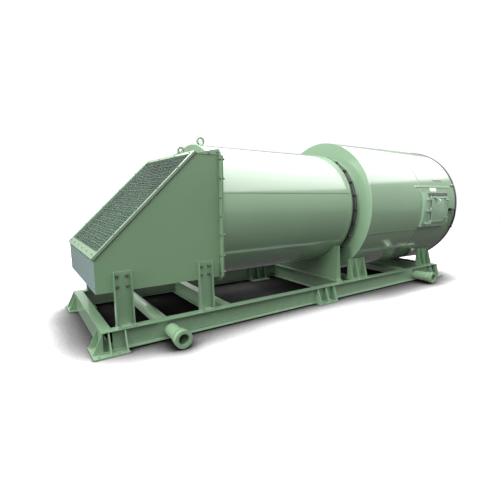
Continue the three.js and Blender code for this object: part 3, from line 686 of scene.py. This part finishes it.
# %% Bellows, bands and screws
BAND_R, SCREW_STEP = 776, 15
bellows_start, bellows_end = span("flexible_connector")
bellows_length = bellows_end - bellows_start
fold_line = [  # share of the length and radius, outside first and back along the inside
    (0.0, 768), (0.14, 770), (0.24, 748), (0.34, 744), (0.44, 764), (0.54, 748), (0.62, 768),
    (1.0, 768), (1.0, 736), (0.60, 736), (0.46, 742), (0.24, 730), (0.0, 736)]
bellows = spun([(bellows_start + share * bellows_length, radius) for share, radius in fold_line])
new_piece("rubber_bellows", bellows, rubber, stands_for=("flexible_connector",), smooth=80)
bands = spun(wall(bellows_start + 1, bellows_start + 24, BAND_R, 768), width=1.5)
join_into(bands, spun(wall(bellows_end - 54, bellows_end - 28, BAND_R, 750), width=1.5))
new_piece("clamp_bands", bands, zinc)
clamp_screws = [(on_drum(bellows_end - 41, BAND_R, angle), on_drum(0, 1000, angle) - on_drum(0, 0, angle))
                for angle in range(0, 360, SCREW_STEP)]
bolt_piece("clamp_screws", clamp_screws, 27, finish=dark_steel)

# %% [markdown]
# ## Lifting tubes and eye bolt
# The lifting tubes are turned about the Y axis, so their outline is spun about that axis instead. Each
# end has two collars that keep a sling from slipping. The eye of the bolt on the duct is a small circle
# spun about the middle of the eye, on a seat of two discs.

# %% Lifting tubes
TUBE_Z, TUBE_R, TUBE_BORE, TUBE_END = 98, 70, 52.5, 1140
COLLAR_IN, COLLAR_OUT, GROOVE_END, INNER_COLLAR_R, END_COLLAR_R = 1030, 1056, 1086, 81, 89


def lifting_tube(station):
    half = [(TUBE_R, COLLAR_IN), (INNER_COLLAR_R, COLLAR_IN), (INNER_COLLAR_R, COLLAR_OUT),
            (TUBE_R, COLLAR_OUT), (TUBE_R, GROOVE_END), (END_COLLAR_R, GROOVE_END),
            (END_COLLAR_R, TUBE_END)]
    outline = [(r, -y) for r, y in reversed(half)] + half + [(TUBE_BORE, TUBE_END), (TUBE_BORE, -TUBE_END)]
    bm = bmesh.new()
    corners, edges = closed_outline(bm, [spot(station, y, TUBE_Z + r) for r, y in outline])
    turn_outline(bm, corners, edges, spot(station, 0, TUBE_Z), (0, 1, 0), TUBE_STEPS)
    round_edges(bm, 2.5)
    return bm


# Painted light: the tubes wear a lighter copy of the green.
for place, station in (("front", 662), ("rear", 5041)):
    new_piece(f"lifting_tube_{place}_turned", lifting_tube(station), tube_paint_painted_light,
              stands_for=(f"lifting_tube_{place}",))

# %% Eye bolt on the duct
EYE_STATION, EYE_HEIGHT, SEAT_HEIGHT = 1439, 2093.3, 2033.3
EYE_R, EYE_WIRE_R = 0.042, 0.012


def eye_bolt():
    bm = bmesh.new()
    centre = spot(EYE_STATION, 0, EYE_HEIGHT)
    section = bmesh.ops.create_circle(bm, segments=14, radius=EYE_WIRE_R,
                                      matrix=Matrix.Translation(centre + Vector((EYE_R, 0, 0))))
    edges = list({e for v in section["verts"] for e in v.link_edges})
    turn_outline(bm, section["verts"], edges, centre, (0, 1, 0), EYE_STEPS)
    seat = spot(EYE_STATION, 0, SEAT_HEIGHT)
    add_disc(bm, seat, UP, 30, 0, 8, 24)
    add_disc(bm, seat, UP, 26, 8, 22, 24, 0.7)
    return bm


new_piece("eye_bolt", eye_bolt(), casing_paint, stands_for=("lifting_eye_duct",), smooth=50)

# %% [markdown]
# ## The fan
# The impeller turns inside the drum and is seen from the open outlet. A blade starts as the outline of a
# wing at the hub and is pushed outwards in steps: at each step the new face is turned a little and made
# smaller, which gives the twist of a real blade.

# %% One blade
HUB_R, TIP_R, BLADES = 300, 682, 8
BLADE_STATION, ROOT_SINK, ROOT_ANGLE = 3895, 12, math.radians(52)
BLADE_STEPS, TWIST, TAPER = 6, math.radians(3.2), 0.97
wing = [(-75, 0), (-55, 9), (-20, 14), (25, 11), (75, 1), (25, -1), (-20, 0), (-55, -3)]


def add_blade(bm, turn_angle):
    corners = [bm.verts.new((x * MM, y * MM, 0)) for x, y in wing]
    bmesh.ops.rotate(bm, cent=(0, 0, 0), matrix=Matrix.Rotation(ROOT_ANGLE, 3, "Z"), verts=corners)
    bmesh.ops.translate(bm, vec=(at(BLADE_STATION), 0, (HUB_R - ROOT_SINK) * MM), verts=corners)
    face = bm.faces.new(corners)
    blade, rise = set(corners), (TIP_R - HUB_R + ROOT_SINK) / BLADE_STEPS * MM
    for _ in range(BLADE_STEPS):
        face = bmesh.ops.extrude_discrete_faces(bm, faces=[face])["faces"][0]
        verts = list(face.verts)
        blade.update(verts)
        bmesh.ops.translate(bm, vec=(0, 0, rise), verts=verts)
        centre = face.calc_center_median()
        bmesh.ops.rotate(bm, cent=centre, matrix=Matrix.Rotation(TWIST, 3, "Z"), verts=verts)
        bmesh.ops.scale(bm, vec=(TAPER, TAPER, 1), space=Matrix.Translation(-centre), verts=verts)
    bmesh.ops.holes_fill(bm, edges=[edge for edge in bm.edges if edge.is_boundary], sides=0)
    bmesh.ops.rotate(bm, cent=(0, 0, 0), matrix=Matrix.Rotation(turn_angle, 3, "X"), verts=list(blade))
    bmesh.ops.translate(bm, vec=(0, 0, axis_z), verts=list(blade))


print(BLADES, "blades from", HUB_R, "to", TIP_R, "mm")

# %% Impeller and nose
ON_AXIS = 0.1  # a radius that closes an outline at the axis
HUB_FRONT, NOSE_BASE, NOSE_LENGTH = 3800, 3799.7, 170


def impeller():
    hub = [(HUB_FRONT, ON_AXIS), (HUB_FRONT, HUB_R), (3990, HUB_R), (3990, 262), (3968, 250),
           (3962, 90), (3990, 86), (3990, ON_AXIS)]
    bm = spun(hub, steps=FAN_STEPS, width=3)
    for blade in range(BLADES):
        add_blade(bm, blade * math.tau / BLADES)
    return bm


new_piece("impeller_cast", impeller(), cast_metal, "rotor", ("impeller",))
dome = [(NOSE_BASE - NOSE_LENGTH * math.cos(math.radians(a)), max(ON_AXIS, HUB_R * math.sin(math.radians(a))))
        for a in range(0, 91, 9)]
new_piece("nose_cone_spun", spun([*dome, (NOSE_BASE, ON_AXIS)], steps=FAN_STEPS), cast_metal,
          "rotor", ("nose_cone",), 50)

# %% Bars set round the axis
def add_round_bars(bm, count, station, radius, size, first=0.0):
    """Equal bars round the long axis, such as vanes or ribs; station in millimetres, the rest in metres."""
    for bar in range(count):
        made = bmesh.ops.create_cube(bm, size=1.0)["verts"]
        bmesh.ops.scale(bm, vec=size, verts=made)
        bmesh.ops.translate(bm, vec=(at(station), 0, radius), verts=made)
        turn = Matrix.Rotation((bar + first) * math.tau / count, 3, "X")
        bmesh.ops.rotate(bm, cent=(0, 0, 0), matrix=turn, verts=made)
        bmesh.ops.translate(bm, vec=(0, 0, axis_z), verts=made)


print("round bars ready")

# %% Casing with guide vanes
VANES, VANE_STATION, VANE_R, VANE_SIZE = 6, 4410, 0.512, (0.3, 0.010, 0.372)


def casing():
    bm = spun([(3549.3, 719), (3580, 708), (3640, 700), (4700, 700), (4700, 694), (3640, 694),
               (3580, 702), (3549.3, 713)])
    join_into(bm, spun(wall(4240, 4580, 330, 324), width=1))
    add_round_bars(bm, VANES, VANE_STATION, VANE_R, VANE_SIZE, first=0.5)
    return bm


new_piece("fan_casing_rolled", casing(), inner_paint, stands_for=("fan_casing", "guide_vanes"))

# %% Shaft and hinge pin keep their CAD shapes
for node, finish in (("motor_shaft", turned_steel), ("door_hinge_pin", dark_steel)):
    nodes[node].data.materials.clear()
    nodes[node].data.materials.append(finish)
    print(node, "is", finish.name)

# %% [markdown]
# ## The motor
# A motor of this size sheds its heat through ribs along the body, with a cowl over its own small fan at
# the rear. The body is spun, the ribs are thin bars set round it, and the terminal box sits on the side
# behind the access door.

# %% Motor
RIBS, RIB_STATION, RIB_R, RIB_SIZE = 40, 4645, 0.275, (0.72, 0.006, 0.034)


def motor():
    bm = spun([(4200, ON_AXIS), (4200, 150), (4240, 170), (4262, 240), (4280, 268), (5018, 268),
               (5020, 300), (5030, 306), (5190, 306), (5225, 285), (5240, 240), (5240, ON_AXIS)],
              steps=FAN_STEPS, width=2)
    add_round_bars(bm, RIBS, RIB_STATION, RIB_R, RIB_SIZE)
    return bm


new_piece("motor_body", motor(), motor_paint, stands_for=("motor",))

# %% Terminal box
TERMINAL_LID = -470


def block(bm, stations, across, heights, width):
    """Adds a box with rounded edges, given by its two ends along each axis, in millimetres."""
    own = bmesh.new()
    made = bmesh.ops.create_cube(own, size=1.0)["verts"]
    low, high = spot(stations[0], across[0], heights[0]), spot(stations[1], across[1], heights[1])
    bmesh.ops.scale(own, vec=high - low, verts=made)
    bmesh.ops.translate(own, vec=(low + high) / 2, verts=made)
    round_edges(own, width)
    join_into(bm, own)


terminal = bmesh.new()
block(terminal, (4766, 4994), (-448, -250), (1125, 1353), 8)
block(terminal, (4760, 5000), (TERMINAL_LID, -450), (1119, 1359), 4)
new_piece("terminal_box", terminal, motor_paint)
terminal_screws = [(spot(x, TERMINAL_LID, z), NEAR) for x in (4778, 4982) for z in (1137, 1341)]
bolt_piece("terminal_screws", terminal_screws, 9)

# %% [markdown]
# ## The access door
# The door is a rolled plate on a raised frame. Four low bars stiffen it, two round rods bent at their
# upper ends run down it as straps, a rubber seal shows as a dark line above and below it, and a dark
# strip with a mottled grain lies along its upper edge. Whatever is on the leaf rides with the door, so it
# swings with it. The straps are short bars end to end, with a ball at each joint so that no bend opens.

# %% Door leaf, latches and pressing
LEAF_R, SEAL_IN, SEAL_OUT = 1047, 1038.2, 1039.6
DARK_BAND_IN, DARK_BAND_OUT = 1037.5, 1048
# Painted light: the leaf, its bars and straps and the door frame wear the door's lighter copy of the green.
rounded_copy("door_leaf", SHEET_EDGE, door_paint_painted_light, "door")
rounded_copy("door_latch_upper", LATCH_EDGE, casing_paint, "latch_upper")
rounded_copy("door_latch_lower", LATCH_EDGE, casing_paint, "latch_lower")
pressing = [(5028, 5420, -12.4, -11.6), (5028, 5420, 8.3, 9.1),
            (5028, 5042, -11.7, 8.4), (5406, 5420, -11.7, 8.4)]
pressing = [(start, end, LEAF_R - SUNK, LEAF_R + 6, low, high) for start, end, low, high in pressing]
arc_piece("door_pressing", door_paint_painted_light, pressing, 2.0, "door")


# %% Straps on the leaf
def on_round(station, height, radius):
    """A point on the near side of a round surface, at a height in millimetres."""
    return spot(station, -math.sqrt(radius**2 - (height - axis_z / MM) ** 2), height)


STRAP_R, STRAP_OUT = 0.008, 8


def bent_strap(route):
    bm = bmesh.new()
    points = [on_round(station, height, LEAF_R + STRAP_OUT) for station, height in route]
    for start, end in zip(points, points[1:]):
        add_bar(bm, start, end, STRAP_R, 10)
    for point in points:
        bmesh.ops.create_icosphere(bm, subdivisions=2, radius=STRAP_R, matrix=Matrix.Translation(point))
    return bm


straps = {
    "left": [(5040, 1396), (5080, 1392), (5108, 1370), (5118, 1330), (5118, 1120)],
    "right": [(5340, 1396), (5375, 1392), (5396, 1370), (5402, 1330), (5402, 1120)],
}
for place, route in straps.items():
    new_piece(f"door_strap_{place}", bent_strap(route), door_paint_painted_light, "door", smooth=60)

# %% Seal and dark band
seal = [(4966, 5478, SEAL_IN, SEAL_OUT, low, high) for low, high in ((-13.2, -12.6), (9.4, 10.0))]
arc_piece("door_seal", rubber, seal, 0, "door")
# A dark mottled band along the door's upper edge.
arc_piece("door_top_dark_band", dark_band_finish, [(4903, 5489, DARK_BAND_IN, DARK_BAND_OUT, 10.7, 13.3)], 2.0)

# %% [markdown]
# ## The supply cable
# A short stiff cable leaves a gland on the drum, bows round and down beside the outlet and enters a
# second gland. It follows the round wall at a steady distance, so its route is a few points on the
# wall, and a thick cable never bends tighter than about four times its own width.

# %% The cable's route
CABLE_R, CABLE_WALL, BOW_R = 11, 1032, 100
BOW_STATION, BOW_HEIGHT = 5690, 1091
START_STATION, START_HEIGHT = 5672, 1191
END_STATION, END_HEIGHTS = 5790, (1060, 1030, 1000, 970, 940, 905)
bow = [(BOW_STATION + BOW_R * math.sin(math.radians(a)), BOW_HEIGHT + BOW_R * math.cos(math.radians(a)))
       for a in range(0, 91, 10)]
stretch = [(START_STATION, START_HEIGHT), *bow, *[(END_STATION, z) for z in END_HEIGHTS]]
cable_route = [on_round(x, z, CABLE_WALL) for x, z in stretch]

# %% The cable
curve = bpy.data.curves.new("supply_cable", "CURVE")
curve.dimensions = "3D"
curve.bevel_depth = CABLE_R * MM
curve.bevel_resolution = 5
curve.use_fill_caps = True
spline = curve.splines.new("POLY")
spline.points.add(len(cable_route) - 1)
for point, place in zip(spline.points, cable_route):
    point.co = (*place, 1.0)
curve.materials.append(cable_sheath)
cable = bpy.data.objects.new("supply_cable_bow", curve)
bpy.context.scene.collection.objects.link(cable)
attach(cable, "set_frame")
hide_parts("supply_cable")
print("cable diameter", 2 * CABLE_R, "mm")


# %% Glands
NUT_R, SLEEVE_R, SLEEVE_TAPER, BLOCK_EDGE = 17, 15, 0.8, 4


def gland(name, base, foot, direction, nut, sleeve):
    """A block on the wall, a hexagonal nut and a sleeve that tapers towards the cable."""
    bm = bmesh.new()
    block(bm, *base, BLOCK_EDGE)
    add_disc(bm, foot, direction, NUT_R, *nut, 6)
    add_disc(bm, foot, direction, SLEEVE_R, *sleeve, 20, SLEEVE_TAPER)
    new_piece(name, bm, cable_sheath)


gland("cable_gland_upper", ((5604, 5640), (-1050, -985), (1168, 1214)),
      on_round(5640, START_HEIGHT, CABLE_WALL), BACK, (-2, 14), (14, 36))
gland("cable_gland_lower", ((5772, 5808), (-986, -935), (877, 893)),
      on_round(END_STATION, 892, CABLE_WALL), UP, (0, 12), (12, 30))

# %% [markdown]
# ## Floor and light
# The stage is plain: a pale floor that fades out, with a painted shade that darkens it where steel comes
# close to it, a bright sky above and a dim, faintly warm ground below the horizon. Gloss paint shows what
# stands around it, so the upper half of a round shell mirrors the bright sky and its lower half the dim
# ground. The bright part of the sky begins well above the horizon, and a little lower on the far side and
# beyond the outlet end, which places the edge of the highlight on the drum. One large soft lamp adds a
# little direction.

# %% Stage
FLOOR_R, FADE_START, FADE_END = 14.0, 4.6, 9.0
FLOOR_PALE, FLOOR_PAINTED_SHADE = (0.66, 0.66, 0.66, 1.0), (0.005, 0.005, 0.005, 1.0)
CONTACT_REACH, CONTACT_POWER = 0.8, 4.0


def pale_floor():
    bm = bmesh.new()
    bmesh.ops.create_circle(bm, cap_ends=True, segments=96, radius=FLOOR_R)
    mesh = bpy.data.meshes.new("floor")
    bm.to_mesh(mesh)
    bm.free()
    floor = bpy.data.objects.new("floor", mesh)
    material = bpy.data.materials.new("pale_floor")
    material.use_nodes = True
    tree = material.node_tree
    tree.nodes.remove(tree.nodes["Principled BSDF"])
    place = tree.nodes.new("ShaderNodeTexCoord").outputs["Object"]
    reach = add_node(tree, "ShaderNodeVectorMath", operation="LENGTH")
    link(tree, place, reach.inputs[0])
    fade = remap(tree, reach.outputs["Value"], FADE_START, FADE_END, 0.0, 1.0)
    diffuse = add_node(tree, "ShaderNodeBsdfDiffuse")
    # Painted shade: an ambient occlusion node darkens the floor's colour where steel comes close.
    contact = add_node(tree, "ShaderNodeAmbientOcclusion", samples=8)
    contact.inputs["Distance"].default_value = CONTACT_REACH
    shade = calculate(tree, contact.outputs["AO"], CONTACT_POWER, "POWER")
    link(tree, blend_colour(tree, shade, FLOOR_PAINTED_SHADE, FLOOR_PALE), diffuse.inputs["Color"])
    clear = add_node(tree, "ShaderNodeBsdfTransparent")
    mix = add_node(tree, "ShaderNodeMixShader")
    link(tree, fade, mix.inputs["Fac"])
    link(tree, diffuse.outputs["BSDF"], mix.inputs[1])
    link(tree, clear.outputs["BSDF"], mix.inputs[2])
    link(tree, mix.outputs["Shader"], tree.nodes["Material Output"].inputs["Surface"])
    mesh.materials.append(material)
    bpy.context.scene.collection.objects.link(floor)
    floor.visible_glossy = False
    floor.visible_diffuse = False
    return floor


pale_floor()
print("floor radius", FLOOR_R, "m")

# %% Sky
LOWER_BEHIND, LOWER_BEYOND, BEYOND_FROM = 0.10, 0.12, 0.6
WHITE = (1.0, 1.0, 1.0, 1.0)
world = bpy.data.worlds.new("sky")
bpy.context.scene.world = world
world.use_nodes = True
sky = world.node_tree
direction = add_node(sky, "ShaderNodeTexCoord").outputs["Generated"]
parts = add_node(sky, "ShaderNodeSeparateXYZ")
link(sky, direction, parts.inputs["Vector"])
ramp = add_node(sky, "ShaderNodeValToRGB")
behind = remap(sky, parts.outputs["Y"], 0.0, 1.0, 0.0, LOWER_BEHIND)
beyond = remap(sky, parts.outputs["X"], BEYOND_FROM, 1.0, 0.0, LOWER_BEYOND)
raised = calculate(sky, parts.outputs["Z"], calculate(sky, behind, beyond, "ADD"), "ADD")
link(sky, remap(sky, raised, -1.0, 1.0, 0.0, 1.0), ramp.inputs["Fac"])
stops = [  # 0 is straight down, 0.5 the horizon and 1 straight up
    (0.0, (0.095, 0.086, 0.092)), (0.38, (0.130, 0.114, 0.122)), (0.48, (0.158, 0.142, 0.136)),
    (0.53, (0.36, 0.39, 0.36)), (0.735, (0.52, 0.57, 0.52)), (0.757, (2.85, 2.75, 2.85)),
    (1.0, (4.6, 4.6, 4.6))]
while len(ramp.color_ramp.elements) < len(stops):
    ramp.color_ramp.elements.new(0.5)
for element, (position, colour) in zip(ramp.color_ramp.elements, stops):
    element.position = position
    element.color = (*colour, 1.0)
seen = add_node(sky, "ShaderNodeLightPath").outputs["Is Camera Ray"]
background = sky.nodes["Background"]
link(sky, blend_colour(sky, seen, ramp.outputs["Color"], WHITE), background.inputs["Color"])
print("sky stops:", len(stops))

# %% Lamp
lamp_data = bpy.data.lights.new("soft_lamp", "AREA")
lamp_data.energy = 4200
lamp_data.size = 8.0
lamp = bpy.data.objects.new("soft_lamp", lamp_data)
lamp.location = (-22.0, -2.0, 7.0)
lamp.rotation_euler = (Vector((0, 0, 1)) - lamp.location).to_track_quat("-Z", "Y").to_euler()
bpy.context.scene.collection.objects.link(lamp)
bpy.context.scene.view_settings.view_transform = "Standard"
print("stage ready")
